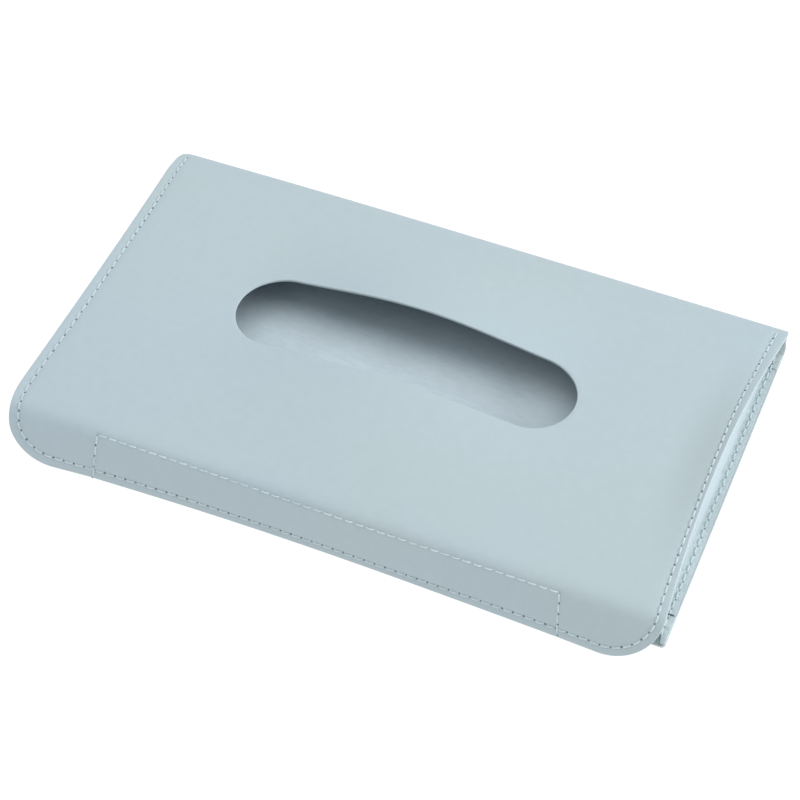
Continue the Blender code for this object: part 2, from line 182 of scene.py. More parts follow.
# The strip's seam on the flap: (x, distance beyond the crease) along its top, and x at its low ends.
# PATCH_HALF is half the length of the one on the back.
PATCH_TOP = ((-0.0815, 0.0010), (-0.050, 0.0011), (-0.018, 0.0017), (0.020, 0.0022), (0.0805, 0.0021))
PATCH_LOW_ENDS = (-0.0810, 0.0826)
PATCH_HALF = 0.0819

# The strips' own seams inside, and how they rise over each disc.
STRIP_SEAM_INSET = 0.0016
STRIP_GROOVE_WIDTH = 0.0009
DISC_RISE = 0.00022
DISC_RADIUS = 0.0052
DISC_SOFTNESS = 0.0004

# Where the edge seam runs nearer the edge than its inset, as knots of (place, how much nearer, slope): by
# depth along the left and the right side, and by x along the flap. CORNER_DRIFT holds round the right corner.
LEFT_DRIFT = (
    (-0.001, 0, 0), (0.038, -0.0003, 0), (0.092, -0.0003, 0), (0.112, 0.0001, 0), (0.130, 0, 0),
)
RIGHT_DRIFT = (
    (-0.001, -0.0004, 0), (0.009, -0.0002, 0.045), (0.029, 0.0006, 0.015), (0.049, 0.0010, 0.030),
    (0.069, 0.0016, 0.015), (0.089, 0.0018, -0.002), (0.109, 0.0014, -0.030), (0.130, 0.0006, -0.010),
)
FLAP_DRIFT = (
    (-0.096, 0, 0), (-0.054, 0.0001, 0.008), (-0.030, 0.0006, 0.014), (0, 0.0010, 0.016),
    (0.018, 0.0013, 0.004), (0.040, 0.0012, -0.010), (0.066, 0.0007, -0.006), (0.096, 0.0006, 0),
)
CORNER_DRIFT = 0.0006

# The flap's lower edge bows a little: knots of (x, how much lower, slope).
EDGE_BOW = (
    (-0.096, 0, -0.020), (-0.080, -0.0004, 0.005), (-0.020, 0, 0.010), (0.040, 0.0004, 0), (0.096, 0, 0),
)

# The fold is pressed down at its left end: knots of (place from the left edge, rise, slope).
FOLD_PRESS = ((-0.001, -0.0014, 0.032), (0.083, 0.0004, 0.006), (0.231, 0.0007, 0.0))
PRESS_REACH = 0.012

# The left corner is tucked in beside the crease, and the right edge curls up a little along its middle.
CORNER_TUCK = 0.0014
TUCK_DEPTH = 0.1335
TUCK_REACH = 0.0060
EDGE_CURL = 0.0007
CURL_WIDTH = 0.014

# How far the leather's edge is trimmed back round the fold's two ends, and the stretch over which it rounds
# off on both sides of the fold's crest. JOIN_V is where the two pieces of the leather meet.
FOLD_TRIM_LEFT = (0.0042, 0.0060)
FOLD_TRIM_RIGHT = (0.0010, 0.0060)
STEEPEST_TRIM = 0.985
CREST_HALF = 0.0030
FOLD_TRIM_REACH = 0.004
JOIN_V = 0.0029

# The floor lining's waves: their height, and how closely they follow across, askew and along.
WAVE_HEIGHT = 0.00007
WAVE_RATES = (95, 60, 130)

# Where shade is painted into the leather's colour: a soft darker zone beside the right seam.
PAINTED_SHADE_CENTRE = (0.1085, SHIFT_Y - 0.064, 0.020)
PAINTED_SHADE_SIZE = (0.016, 0.060, 0.030)
PAINTED_SHADE_FACTOR = 0.88

# Fineness of the meshes.
LOOP_STEP = 0.0011
FOLD_STEP = LOOP_STEP / 4
SLIT_STEP = LOOP_STEP / 2
GRID_STEP = 0.0026
SEAM_STEP = 0.00062
SIDE_STEP = 0.002
SEAM_ROWS = (-0.0024, -0.0015, -0.0009, -0.0004, 0, 0.0004, 0.0009, 0.0015, 0.0024)
STITCH_POINTS = 9
THREAD_SIDES = 8
HOLE_SIDES = 9
GUSSET_STATIONS = 76
GUSSET_POINTS = 46
WEBBING_STATIONS = 150
FLANGE_BEND_STEPS = 5
WEBBING_BEND_STEPS = 7
RIBS = 18
RIB_STEPS = 6
RIB_DEPTH = 0.20
WEBBING_EDGE = (1.02, 30, 0.05)
CHUNK = 4000
PROBE = 0.00001
PATH_STEP = PROBE * 20
MM = 0.001
SHARP_DEG = 62

# The camera of the photograph, found from the pouch's corners, slot and seams.
CAMERA_AZIMUTH_DEG = 22.75
CAMERA_ELEVATION_DEG = 51.86
CAMERA_ROLL_DEG = -0.45
CAMERA_DISTANCE = 0.83990
CAMERA_TARGET = (0.00076, -0.00194, 0.0017)
CAMERA_LENS = 111.9
SENSOR_WIDTH = 36.0

# Lights, as (name, place, diameter, power), the white surround and the floor.
LIGHTS = (
    ("overhead", (0.0, 0.30, 1.20), 1.4, 5.8),
    ("right", (2.0, 0.30, 0.85), 1.0, 27.0),
    ("left", (-2.0, -0.20, 0.75), 1.0, 12.0),
    ("front", (0.1, -1.0, 0.15), 0.6, 0.4),
)
SURROUND = (0.97, 0.985, 1.0)
SURROUND_STRENGTH = 0.40
FLOOR_GREY = 0.10
FLOOR_ROUGHNESS = 0.9
FLOOR_GLOW = 0.97
FLOOR_HALF = 8.0
FLOOR_DROP = 0.0001

CORNER_X = HALF_WIDTH - CORNER_RADIUS
CORNER_V = -FRONT_DEPTH + CORNER_RADIUS
LIFT_HALF_SPAN = SLOT_LENGTH / 2 + LIFT_BEYOND_SLOT
POCKET_HALF = HALF_WIDTH - POCKET_END_INSET
BACK_POCKET_FAR = BACK_DEPTH - POCKET_EDGE_INSET - POCKET_WIDTH
NEAR_SLIT_DEPTH = BACK_POCKET_FAR - TAIL_GAP - BAND_TAIL - BAND_BEND
MAGNET_SPACING = POCKET_HALF - MAGNET_END_INSET
BAND_CENTRE = HALF_WIDTH - BAND_SIDE_INSET - BAND_WIDTH / 2

# The cover's extra lift along its middle: knots of (depth, height, slope).
LIFT_KNOTS = (
    (0, 0, 0.10),
    (SLOT_DEPTH - SLOT_WIDTH / 2, FAR_LIP_LIFT, 0.05),
    (SLOT_DEPTH + SLOT_WIDTH / 2, NEAR_LIP_LIFT, -0.08),
    (CREASE_DEPTH, 0, -0.02),
)


# Surfaces, for arrays of places

def float_arrays(x, v):
    return np.broadcast_arrays(np.asarray(x, float), np.asarray(v, float))


def stacked(*columns):
    return np.stack(columns, axis=-1)


def unit(vectors):
    return vectors / np.linalg.norm(vectors, axis=-1, keepdims=True)


def hermite(value, knots):
    """Smooth curve through knots of (place, height, slope)."""
    result = np.zeros_like(value)
    for (a, ha, ma), (b, hb, mb) in zip(knots, knots[1:]):
        t = np.clip((value - a) / (b - a), 0, 1)
        rise = ha * (1 + 2 * t) * (1 - t) ** 2 + hb * t * t * (3 - 2 * t)
        rise += (b - a) * (ma * t * (1 - t) ** 2 - mb * t * t * (1 - t))
        result = np.where(value > a, rise, result)
    return result


def cover_face(x, depth):
    """Outer face of the arched cover, up to the crease's own corner line."""
    t = depth / CREASE_DEPTH
    bow = 4 * t * (1 - t)
    across = np.minimum(np.abs(x) / HALF_WIDTH, 1)
    height = FOLD_HEIGHT + (CREASE_HEIGHT - FOLD_HEIGHT) * t + ARCH_RISE * bow
    height = height + EDGE_ROLL * bow * (1 - across ** EDGE_ROLL_POWER)
    crown = np.where(np.abs(x) < LIFT_HALF_SPAN, np.cos(math.pi / 2 * x / LIFT_HALF_SPAN) ** 2, 0)
    height = height + crown * hermite(depth, LIFT_KNOTS)
    drawn_in = EDGE_PULL * bow + CREASE_PULL * t
    return stacked(x * (1 - drawn_in / HALF_WIDTH), -depth, height)


def flap_face(x, beyond):
    """Outer face of the flap, at a distance beyond the crease's corner line."""
    across = np.minimum(np.abs(x) / HALF_WIDTH, 1)
    angle = np.radians(FLAP_MIDDLE_DEG + (FLAP_END_DEG - FLAP_MIDDLE_DEG) * across ** 2)
    corner = cover_face(x, np.full_like(x, CREASE_DEPTH))
    down = stacked(np.zeros_like(x), -np.cos(angle), -np.sin(angle))
    return corner + beyond[..., None] * down


def front_face(x, depth):
    """Cover, rounded crease and flap as one face."""
    start = CREASE_DEPTH - CREASE_REACH
    u = np.clip((depth - start) / (2 * CREASE_REACH), 0, 1)[..., None]
    whole = np.ones_like(x)
    crease = (
        cover_face(x, whole * start) * (1 - u) ** 2
        + cover_face(x, whole * CREASE_DEPTH) * 2 * u * (1 - u)
        + flap_face(x, whole * CREASE_REACH) * u ** 2
    )
    plain = cover_face(x, np.clip(depth, 0, start))
    flap = flap_face(x, np.maximum(depth - CREASE_DEPTH, CREASE_REACH))
    side = depth[..., None]
    return np.where(side <= start, plain, np.where(side >= CREASE_DEPTH + CREASE_REACH, flap, crease))


def leather_face(x, v):
    """Outer face of the whole leather, from the flap's edge, lowest v, to the back's edge, highest v."""
    x, v = float_arrays(x, v)
    front = front_face(x, np.maximum(-v, 0))
    angle = SPINE_WRAP - v / SPINE_RADIUS
    fold = stacked(x, SPINE_Y + SPINE_RADIUS * np.sin(angle), SPINE_Z - SPINE_RADIUS * np.cos(angle))
    back = stacked(x, SPINE_Y - (v - SPINE_LENGTH), np.full_like(x, BACK_BOTTOM))
    side = v[..., None]
    place = np.where(side <= 0, front, np.where(side < SPINE_LENGTH, fold, back))
    share = np.clip(1 + np.minimum(v, 0) / PRESS_REACH, 0, 1)
    share = share * share * (3 - 2 * share) * (place[..., 2] - BACK_BOTTOM) / (FOLD_HEIGHT - BACK_BOTTOM)
    place[..., 2] += share * hermite(x + HALF_WIDTH, FOLD_PRESS)
    tuck = CORNER_TUCK * np.exp(-((v + TUCK_DEPTH) / TUCK_REACH) ** 2)
    place[..., 0] += tuck * np.clip(-x / HALF_WIDTH, 0, 1) ** 4
    beside = np.clip((x - HALF_WIDTH + CURL_WIDTH) / CURL_WIDTH, 0, 1) ** 2
    place[..., 2] += EDGE_CURL * beside * np.sin(math.pi * np.clip(-v / CREASE_DEPTH, 0, 1)) ** 2
    return place + np.array([0, SHIFT_Y, 0])


def normal_of(face, x, v):
    across = face(x + PROBE, v) - face(x - PROBE, v)
    along = face(x, v + PROBE) - face(x, v - PROBE)
    return unit(np.cross(across, along))


def at(face, x, v, height):
    """Places at a height over a face. A negative height lies under it."""
    return face(x, v) + normal_of(face, x, v) * np.asarray(height, float)[..., None]


def under_leather(depth_under):
    """The leather's face moved inwards, for the sheets that lie under it."""
    return lambda x, v: at(leather_face, x, v, np.full_like(v, -depth_under))


def inside_leather(depth_under):
    """A face that looks inwards, with depth for its second coordinate."""
    return lambda x, depth: under_leather(depth_under)(x, -depth)


def level_face(height):
    """A level face that looks up, whose second coordinate is minus the depth."""
    def face(x, v):
        x, v = float_arrays(x, v)
        return stacked(x, v + SHIFT_Y, np.full_like(x, height))
    return face


# Outlines and paths in a plan

def lengths(points):
    """Distance from the start of a line to each of its points."""
    return np.concatenate([[0], np.cumsum(np.linalg.norm(np.diff(points, axis=0), axis=1))])


def points_along(points, length, where):
    """Places at distances along a line of points, whose own distances are its length."""
    return stacked(*(np.interp(where, length, axis) for axis in points.T))


def resampled(line, count):
    """Points evenly spread along a line of points."""
    length = lengths(line)
    return points_along(line, length, np.linspace(0, length[-1], count))


def arc(centre, radius, start_deg, end_deg, step=LOOP_STEP):
    count = max(3, math.ceil(abs(math.radians(end_deg - start_deg)) * radius / step))
    turn = np.radians(np.linspace(start_deg, end_deg, count + 1))
    return stacked(centre[0] + radius * np.cos(turn), centre[1] + radius * np.sin(turn))


def run(points, step=LOOP_STEP):
    """A line through points with its stretches divided, and no point twice."""
    points = np.asarray(points, float)
    made = [points[:1]]
    for a, b in zip(points, points[1:]):
        length = np.linalg.norm(b - a)
        if length > PROBE:
            count = max(1, round(length / step))
            made.append(a + (b - a) * np.arange(1, count + 1)[:, None] / count)
    return np.concatenate(made)


def rectangle(x0, x1, v0, v1, radius, step=LOOP_STEP):
    """Closed outline with round corners, anticlockwise, its first point not repeated."""
    x0, x1, v0, v1 = x0 + radius, x1 - radius, v0 + radius, v1 - radius
    corners = []
    for quarter, centre in enumerate(((x1, v0), (x1, v1), (x0, v1), (x0, v0))):
        corners.extend(arc(centre, radius, 90 * quarter - 90, 90 * quarter, step))
    return run([*corners, corners[0]], step)[:-1]


def slot_outline(margin=0):
    """The round-ended slot, clockwise, so that the leather lies on its left."""
    radius = SLOT_WIDTH / 2 + margin
    x = SLOT_LENGTH / 2 - SLOT_WIDTH / 2
    ends = [*arc((x, -SLOT_DEPTH), radius, 90, -90), *arc((-x, -SLOT_DEPTH), radius, -90, -270)]
    return run([*ends, ends[0]])[:-1]


def fold_edge(side, start, end):
    """Points along the leather's left or right edge round the fold, where it is trimmed back."""
    trim, stretch = FOLD_TRIM_LEFT if side < 0 else FOLD_TRIM_RIGHT
    v = np.linspace(start, end, math.ceil(abs(end - start) / FOLD_STEP) + 1)
    crest = SPINE_RADIUS * (SPINE_WRAP - math.pi / 2)
    steep = np.clip(1 - (np.abs(v - crest) - CREST_HALF) / stretch, 0, STEEPEST_TRIM)
    x = HALF_WIDTH - trim * (1 - np.sqrt(1 - steep ** 2))
    return stacked(side * x, v)


def front_outline():
    """The front leather's edge, from the fold on the left round the mouth to the right and back."""
    left = arc((-CORNER_X, CORNER_V), CORNER_RADIUS, 180, 270)
    right = arc((CORNER_X, CORNER_V), CORNER_RADIUS, 270, 360)
    across = np.arange(-CORNER_X, CORNER_X, LOOP_STEP)[1:]
    low = stacked(across, -FRONT_DEPTH - hermite(across, EDGE_BOW))
    line = run([*fold_edge(-1, JOIN_V, -FOLD_TRIM_REACH), *left, *low, *right,
                *fold_edge(1, -FOLD_TRIM_REACH, JOIN_V)])
    return np.concatenate([line, run([line[-1], line[0]])[1:-1]])


def outward(loop):
    """Unit directions out of the material, which lies on the left of a closed loop."""
    way = unit(np.roll(loop, -1, axis=0) - np.roll(loop, 1, axis=0))
    return stacked(way[:, 1], -way[:, 0])


def tree_of(points):
    tree = KDTree(len(points))
    for number, (x, v) in enumerate(points):
        tree.insert((x, v, 0), number)
    tree.balance()
    return tree


class Seam:
    """A line of stitches in a plan, with its length from the start at each point."""

    def __init__(self, points, depth=GROOVE_DEPTH, width=GROOVE_WIDTH, pitch=STITCH_PITCH, pinch=PINCH_DEPTH):
        self.points = run(points, PATH_STEP)
        self.length = lengths(self.points)
        self.count = max(1, round(self.length[-1] / pitch))
        self.pitch = self.length[-1] / self.count
        self.depth, self.width, self.pinch = depth, width, pinch
        self.tree = tree_of(self.points)

    def place(self, length):
        """Points and directions to the right at distances along the seam."""
        reach = self.pitch / 6
        middle, ahead, behind = (
            points_along(self.points, self.length, np.clip(length + step, 0, self.length[-1]))
            for step in (0, reach, -reach)
        )
        dx, dv = (ahead - behind).T
        size = np.hypot(dx, dv)
        return middle, stacked(dv / size, -dx / size)

    def relief(self, x, v):
        """How far the leather is drawn in by the seam, most at the needle holes."""
        found = [self.tree.find((a, b, 0)) for a, b in zip(x, v)]
        near = np.array([f[2] for f in found])
        length = self.length[[f[1] for f in found]]
        holes = 0.5 + 0.5 * np.cos(2 * math.pi * length / self.pitch)
        groove = self.depth * np.exp(-(near / self.width) ** 2)
        return -groove - self.pinch * holes * np.exp(-(near / PINCH_WIDTH) ** 2)

    def rows(self):
        """Points in close rows on both sides of the seam, for its mesh."""
        middle, right = self.place(np.arange(0, self.length[-1], SEAM_STEP))
        return np.concatenate([middle + right * off for off in SEAM_ROWS])


def edge_seam():
    radius = CORNER_RADIUS - SEAM_INSET
    side = HALF_WIDTH - SEAM_INSET
    left = arc((-CORNER_X, CORNER_V), radius, 180, 270, SEAM_STEP)
    right = arc((CORNER_X, CORNER_V), radius + CORNER_DRIFT, 270, 360, SEAM_STEP)
    depth = np.arange(SEAM_START, CREASE_DEPTH - CREASE_REACH, SIDE_STEP)
    across = np.arange(SIDE_STEP - CORNER_X, CORNER_X, SIDE_STEP)
    left_side = stacked(-side - hermite(depth, LEFT_DRIFT), -depth)
    right_side = stacked(side + hermite(depth, RIGHT_DRIFT), -depth)
    low = stacked(across, -FRONT_DEPTH + SEAM_INSET - hermite(across, FLAP_DRIFT))
    return Seam([*left_side, *left, *low, *right, *right_side[::-1]])


def patch_seams():
    """The magnets' strip shows on the flap as an upper seam and two end seams, which run off the edge."""
    top = [(x, -CREASE_DEPTH - beyond) for x, beyond in PATCH_TOP]
    left, right = ((x, -FRONT_DEPTH + 2 * CLEAR) for x in PATCH_LOW_ENDS)
    lines = (top, [left, top[0]], [top[-1], right])
    return [Seam(line, GROOVE_DEPTH / 3, GROOVE_WIDTH / 2) for line in lines]


def back_seams():
    """Border of the back leather and the rectangle that holds its magnets' strip."""
    side = HALF_WIDTH - BORDER_INSET
    end = BACK_END - BORDER_INSET
    far = BACK_END - POCKET_EDGE_INSET - POCKET_WIDTH + BORDER_INSET / 2
    start = SPINE_LENGTH + BORDER_START
    patch = [(PATCH_HALF, end), (PATCH_HALF, far), (-PATCH_HALF, far), (-PATCH_HALF, end)]
    return [Seam([(side, start), (side, end), (-side, end), (-side, start)]), Seam(patch, GROOVE_DEPTH / 3)]


def total_relief(seams, x, v):
    return sum((seam.relief(x, v) for seam in seams), np.zeros(len(x)))


def over_seams(face, seams):
    """Gives places at a height over a face that its seams draw in."""
    return lambda x, v, lift: at(face, x, v, total_relief(seams, x, v) + lift)


# Meshes

def inside(points, loops):
    """Which points lie within the outer loop and outside the holes, by counting crossings."""
    result = np.zeros(len(points), bool)
    for loop in loops:
        (ax, av), (bx, bv) = loop.T, np.roll(loop, -1, axis=0).T
        rise = np.where(bv == av, 1, bv - av)
        for start in range(0, len(points), CHUNK):
            chunk = slice(start, start + CHUNK)
            x, v = points[chunk, :1], points[chunk, 1:]
            right = x < (bx - ax) * (v - av) / rise + ax
            crossings = np.sum(((av > v) != (bv > v)) & right, axis=1)
            result[chunk] ^= (crossings % 2).astype(bool)
    return result


def thinned(points, kept, reach):
    """The points that lie further than a reach from those already kept."""
    tree = tree_of(kept)
    return np.array([p for p in points if tree.find((p[0], p[1], 0))[2] > reach]).reshape(-1, 2)


def loop_edges(loops):
    """Pairs of neighbours round each loop, numbered on from loop to loop."""
    pairs, first = [], 0
    for loop in loops:
        pairs += [(first + k, first + (k + 1) % len(loop)) for k in range(len(loop))]
        first += len(loop)
    return pairs


def divided(loops, seams):
    """Triangles of a plan, fine beside its seams: its points, loop points first, and its triangles."""
    points = edge = np.concatenate(loops)
    for seam in seams:
        rows = seam.rows()
        rows = rows[inside(rows, loops)]
        points = np.concatenate([points, thinned(rows, points, SEAM_STEP / 2)])
    xs, vs = (np.linspace(low, high, max(round((high - low) / GRID_STEP), 1) + 1)
              for low, high in zip(edge.min(axis=0), edge.max(axis=0)))
    grid = stacked(*np.meshgrid(xs, vs))
    grid[1::2, :, 0] += (xs[1] - xs[0]) / 2
    grid = grid.reshape(-1, 2)[inside(grid.reshape(-1, 2), loops)]
    points = np.concatenate([points, thinned(grid, points, LOOP_STEP / 2)])
    found = delaunay_2d_cdt([Vector(p) for p in points / MM], loop_edges(loops), [], 0, PROBE)
    source = [ids[0] for ids in found[3]]
    triangles = np.array([[source[k] for k in face] for face in found[2]])
    return points, triangles[inside(points[triangles].mean(axis=1), loops)]


def rim_profile(thickness, rounding):
    """Steps round a cut edge, as (inset from the edge, distance under the face)."""
    turn = np.radians([0, 30, 60, 90])
    upper = [(rounding * (1 - math.sin(a)), rounding * (1 - math.cos(a))) for a in turn]
    lower = [(inset, thickness - under) for inset, under in reversed(upper)]
    return upper + lower


def new_object(name, data):
    made = bpy.data.objects.new(name, data)
    bpy.context.scene.collection.objects.link(made)
    return made


def mesh_object(name, vertices, faces, materials, indices=None):
    mesh = bpy.data.meshes.new(name)
    mesh.from_pydata([tuple(v) for v in vertices], [], faces)
    for made in materials:
        mesh.materials.append(made)
    if indices is not None:
        mesh.polygons.foreach_set("material_index", indices)
    mesh.shade_smooth()
    mesh.update()
    return new_object(name, mesh)


def cut_sheet(name, face, loops, thickness, materials, rounding, seams=(), relief=None, butt=None):
    """A sheet cut to its outline and holes, with rounded cut edges, formed on a face.

    Its materials are for the outer face, the cut edge and the inner face. Along a butt line, a value of v,
    the edge is cut square, to meet another piece of the same leather.
    """
    profile = rim_profile(thickness, rounding)
    directions = [outward(loop) for loop in loops]
    if butt is not None:
        line = np.abs(loops[0][:, 1] - butt) < PROBE
        end = line & (np.abs(loops[0][:, 0]) > HALF_WIDTH - FOLD_TRIM_LEFT[0] - PROBE)
        directions[0][line & ~end] = 0
        directions[0][end] = np.sign(loops[0][end]) * (1, 0)
    inner_loops = [loop - way * profile[0][0] for loop, way in zip(loops, directions)]
    points, triangles = divided(inner_loops, seams)
    x, v = points.T
    raised = total_relief(seams, x, v)
    if relief is not None:
        raised = raised + relief(x, v)
    edge, ways = np.concatenate(loops), np.concatenate(directions)
    layers = [at(face, x, v, raised)]
    for inset, under in profile[1:-1]:
        plan = edge - ways * inset
        height = raised[:len(edge)] * (1 - under / thickness) - under
        layers.append(at(face, plan[:, 0], plan[:, 1], height))
    layers.append(at(face, x, v, np.full(len(points), -thickness)))
    starts = np.cumsum([0] + [len(layer) for layer in layers])
    faces = [tuple(t) for t in triangles]
    indices = [0] * len(triangles)
    for a, b in zip(starts[:-2], starts[1:-1]):
        faces += [(a + i, b + i, b + j, a + j) for i, j in loop_edges(loops)]
        indices += [1] * len(edge)
    faces += [tuple(starts[-2] + t[::-1]) for t in triangles]
    indices += [2] * len(triangles)
    made = mesh_object(name, np.concatenate(layers), faces, materials, indices)
    made.data.set_sharp_from_angle(angle=math.radians(SHARP_DEG))
    return made


def tubes(name, rings, half_width, half_height, ups, material):
    """Short closed tubes: rings has one row of centres for each tube, ups the directions of their heights."""
    tangent = unit(np.gradient(rings, axis=1))
    side = unit(np.cross(tangent, ups))
    up = np.cross(side, tangent)
    turn = 2 * math.pi * np.arange(THREAD_SIDES) / THREAD_SIDES
    ring = (
        rings[:, :, None]
        + side[:, :, None] * (half_width[..., None] * np.cos(turn))[..., None]
        + up[:, :, None] * (half_height[..., None] * np.sin(turn))[..., None]
    )
    faces = []
    for tube in np.arange(ring.size // 3).reshape(ring.shape[:3]):
        for low, high in zip(tube, tube[1:]):
            faces += zip(low, high, np.roll(high, -1), np.roll(low, -1))
        faces += [tuple(tube[0]), tuple(tube[-1, ::-1])]
    return mesh_object(name, ring.reshape(-1, 3), faces, [material])


def stitch_line(name, seams, place, material, spread=STITCH_SPREAD):
    """Lock stitches over seams, each sunk into the leather at both ends. place gives points for a height."""
    draw = random.Random(name)
    t = np.linspace(0, 1, STITCH_POINTS)
    bend = np.abs(2 * t - 1)
    rings, widths, heights, ups = [], [], [], []
    for seam in seams:
        for number in range(seam.count):
            slack = [1 + spread * draw.uniform(-1, 1) for _ in range(4)]
            inner = STITCH_GAP * slack[0]
            length = seam.pitch * (number + inner + (1 - 2 * inner) * t)
            middle, right = seam.place(length)
            slant = THREAD_HALF_WIDTH * (STITCH_SLANT * (0.5 - t) + STITCH_BOW * (1 - bend ** 2)) * slack[1]
            x, v = (middle + right * slant[:, None]).T
            lift = THREAD_LIFT * slack[2] * (1 - bend ** 2.5) - THREAD_SINK * bend ** 8
            rings.append(place(x, v, lift))
            ups.append(place(x, v, lift + PROBE) - rings[-1])
            taper = np.sqrt(1 - STITCH_TAPER * bend ** 6)
            widths.append(THREAD_HALF_WIDTH * slack[3] * taper)
            heights.append(THREAD_HALF_HEIGHT * taper)
    return tubes(name, *map(np.array, (rings, widths, heights, ups)), material)


def needle_holes(name, seams, place, material):
    """Dark discs of painted shade at the needle holes, at the ends of the stitches, a little to the inner
    side of the seam.
    """
    draw = random.Random(name)
    sides = HOLE_SIDES
    turn = 2 * math.pi * np.arange(sides) / sides
    vertices, faces = [], []
    for seam in seams:
        middle, right = seam.place(seam.pitch * np.arange(seam.count + 1))
        for (x, v), (rx, rv) in zip(middle, right):
            size = HOLE_RADIUS * draw.uniform(*HOLE_SPREAD)
            x, v = x - rx * size * HOLE_SHIFT, v - rv * size * HOLE_SHIFT
            ring_x = np.append(x + size * np.cos(turn), (x, x))
            ring_v = np.append(v + size * np.sin(turn), (v, v))
            height = np.append(np.full(sides, HOLE_RIM), (HOLE_LID, HOLE_PIT))
            base = len(vertices)
            vertices.extend(place(ring_x, ring_v, height))
            for k in range(sides):
                a, b = base + k, base + (k + 1) % sides
                faces += [(a, b, base + sides), (b, a, base + sides + 1)]
    return mesh_object(name, vertices, faces, [material])


# Materials

def new_material(name):
    made = bpy.data.materials.new(name)
    made.use_nodes = True
    return made, made.node_tree, made.node_tree.nodes["Principled BSDF"]


def node(tree, kind, **values):
    made = tree.nodes.new(kind)
    for key, value in values.items():
        if key in made.inputs:
            made.inputs[key].default_value = value
        else:
            setattr(made, key, value)
    return made


def own_place(tree):
    """The row's own metres, in which a look runs on from piece to piece."""
    return node(tree, "ShaderNodeTexCoord").outputs["Object"]


def noise(tree, scale, detail, stretch=None):
    place = own_place(tree)
    if stretch:
        mapping = node(tree, "ShaderNodeMapping", Scale=stretch)
        tree.links.new(place, mapping.inputs["Vector"])
        place = mapping.outputs["Vector"]
    made = node(tree, "ShaderNodeTexNoise", Scale=scale, Detail=detail)
    tree.links.new(place, made.inputs["Vector"])
    return made.outputs["Fac"]


def ramp(tree, value, stops):
    """Colours or greys at places along a value."""
    made = tree.nodes.new("ShaderNodeValToRGB")
    tree.links.new(value, made.inputs["Fac"])
    elements = made.color_ramp.elements
    while len(elements) < len(stops):
        elements.new(0.5)
    for element, (place, colour) in zip(elements, stops):
        element.position = place
        element.color = (*colour, 1) if isinstance(colour, tuple) else (colour, colour, colour, 1)
    return made.outputs["Color"]


def zone(tree, centre, size, stops):
    """Greys from the middle of a soft ellipsoid, given in the row's own metres, out to its rim."""
    mapping = node(tree, "ShaderNodeMapping", Location=tuple(-c / s for c, s in zip(centre, size)),
                   Scale=tuple(1 / s for s in size))
    ball = node(tree, "ShaderNodeVectorMath", operation="LENGTH")
    tree.links.new(own_place(tree), mapping.inputs["Vector"])
    tree.links.new(mapping.outputs["Vector"], ball.inputs[0])
    smooth = node(tree, "ShaderNodeMapRange", interpolation_type="SMOOTHSTEP")
    tree.links.new(ball.outputs["Value"], smooth.inputs["Value"])
    return ramp(tree, smooth.outputs["Result"], stops)


def mixed(tree, kind, factor, a, b):
    """One colour or grey laid on another."""
    made = node(tree, "ShaderNodeMix", data_type="RGBA", blend_type=kind, Factor=factor)
    for key, value in (("A", a), ("B", b)):
        tree.links.new(value, next(s for s in made.inputs if s.name == key and s.type == "RGBA"))
    return next(s for s in made.outputs if s.type == "RGBA")


def bumped(tree, shader, height, strength, distance):
    made = node(tree, "ShaderNodeBump", Strength=strength, Distance=distance)
    tree.links.new(height, made.inputs["Height"])
    tree.links.new(made.outputs["Normal"], shader.inputs["Normal"])


# The soft drift's scale and the gloss's, how much the gloss varies, and how strongly a grain shows.
DRIFT_SCALE = 22
GLOSS_SCALE = 60
GLOSS_SPREAD = 0.05
GRAIN_STRENGTH = 0.6


def tinted(name, base, spread, roughness, grain_scale, grain_depth, stretch=None, specular=0.4):
    """Stuff of one colour with soft mottling, a grain of its own scale and an uneven gloss."""
    made, tree, shader = new_material(name)
    darker = tuple(c * (1 - spread) for c in base)
    lighter = tuple(min(c * (1 + spread), 1) for c in base)
    wide = ramp(tree, noise(tree, DRIFT_SCALE, 2), [(0.3, darker), (0.7, lighter)])
    fine = ramp(tree, noise(tree, grain_scale / 2, 4, stretch), [(0.25, 1 - spread), (0.75, 1.0)])
    tree.links.new(mixed(tree, "MULTIPLY", 1.0, wide, fine), shader.inputs["Base Color"])
    uneven = [(0.3, roughness - GLOSS_SPREAD), (0.7, roughness + GLOSS_SPREAD)]
    tree.links.new(ramp(tree, noise(tree, GLOSS_SCALE, 3), uneven), shader.inputs["Roughness"])
    shader.inputs["Specular IOR Level"].default_value = specular
    bumped(tree, shader, noise(tree, grain_scale, 5, stretch), GRAIN_STRENGTH, grain_depth)
    return made


def leather_material():
    """Smooth coated leather: a pale blue-grey with faint green and blue drifts, a fine pebble grain, and
    painted shade in a soft darker zone beside the right seam.
    """
    made, tree, shader = new_material("pale_leather")
    blue = (0.515, 0.625, 0.685)
    green = (0.522, 0.632, 0.668)
    drift = ramp(tree, noise(tree, 14, 2), [(0.35, blue), (0.65, green)])
    mottle = ramp(tree, noise(tree, 320, 4), [(0.3, 0.975), (0.7, 1.0)])
    # Painted shade: the colour is darkened in a soft zone beside the right seam.
    painted_shade = zone(tree, PAINTED_SHADE_CENTRE, PAINTED_SHADE_SIZE, [(0.0, PAINTED_SHADE_FACTOR), (1.0, 1.0)])
    toned = mixed(tree, "MULTIPLY", 1.0, drift, painted_shade)
    tree.links.new(mixed(tree, "MULTIPLY", 1.0, toned, mottle), shader.inputs["Base Color"])
    gloss = ramp(tree, noise(tree, 45, 3), [(0.3, 0.50), (0.7, 0.60)])
    tree.links.new(gloss, shader.inputs["Roughness"])
    shader.inputs["Specular IOR Level"].default_value = 0.35
    cells = node(tree, "ShaderNodeTexVoronoi", feature="SMOOTH_F1", Scale=1500.0)
    tree.links.new(own_place(tree), cells.inputs["Vector"])
    pebble = mixed(tree, "MIX", 0.5, cells.outputs["Distance"], noise(tree, 900, 3))
    bumped(tree, shader, pebble, 0.5, 0.00003)
    return made


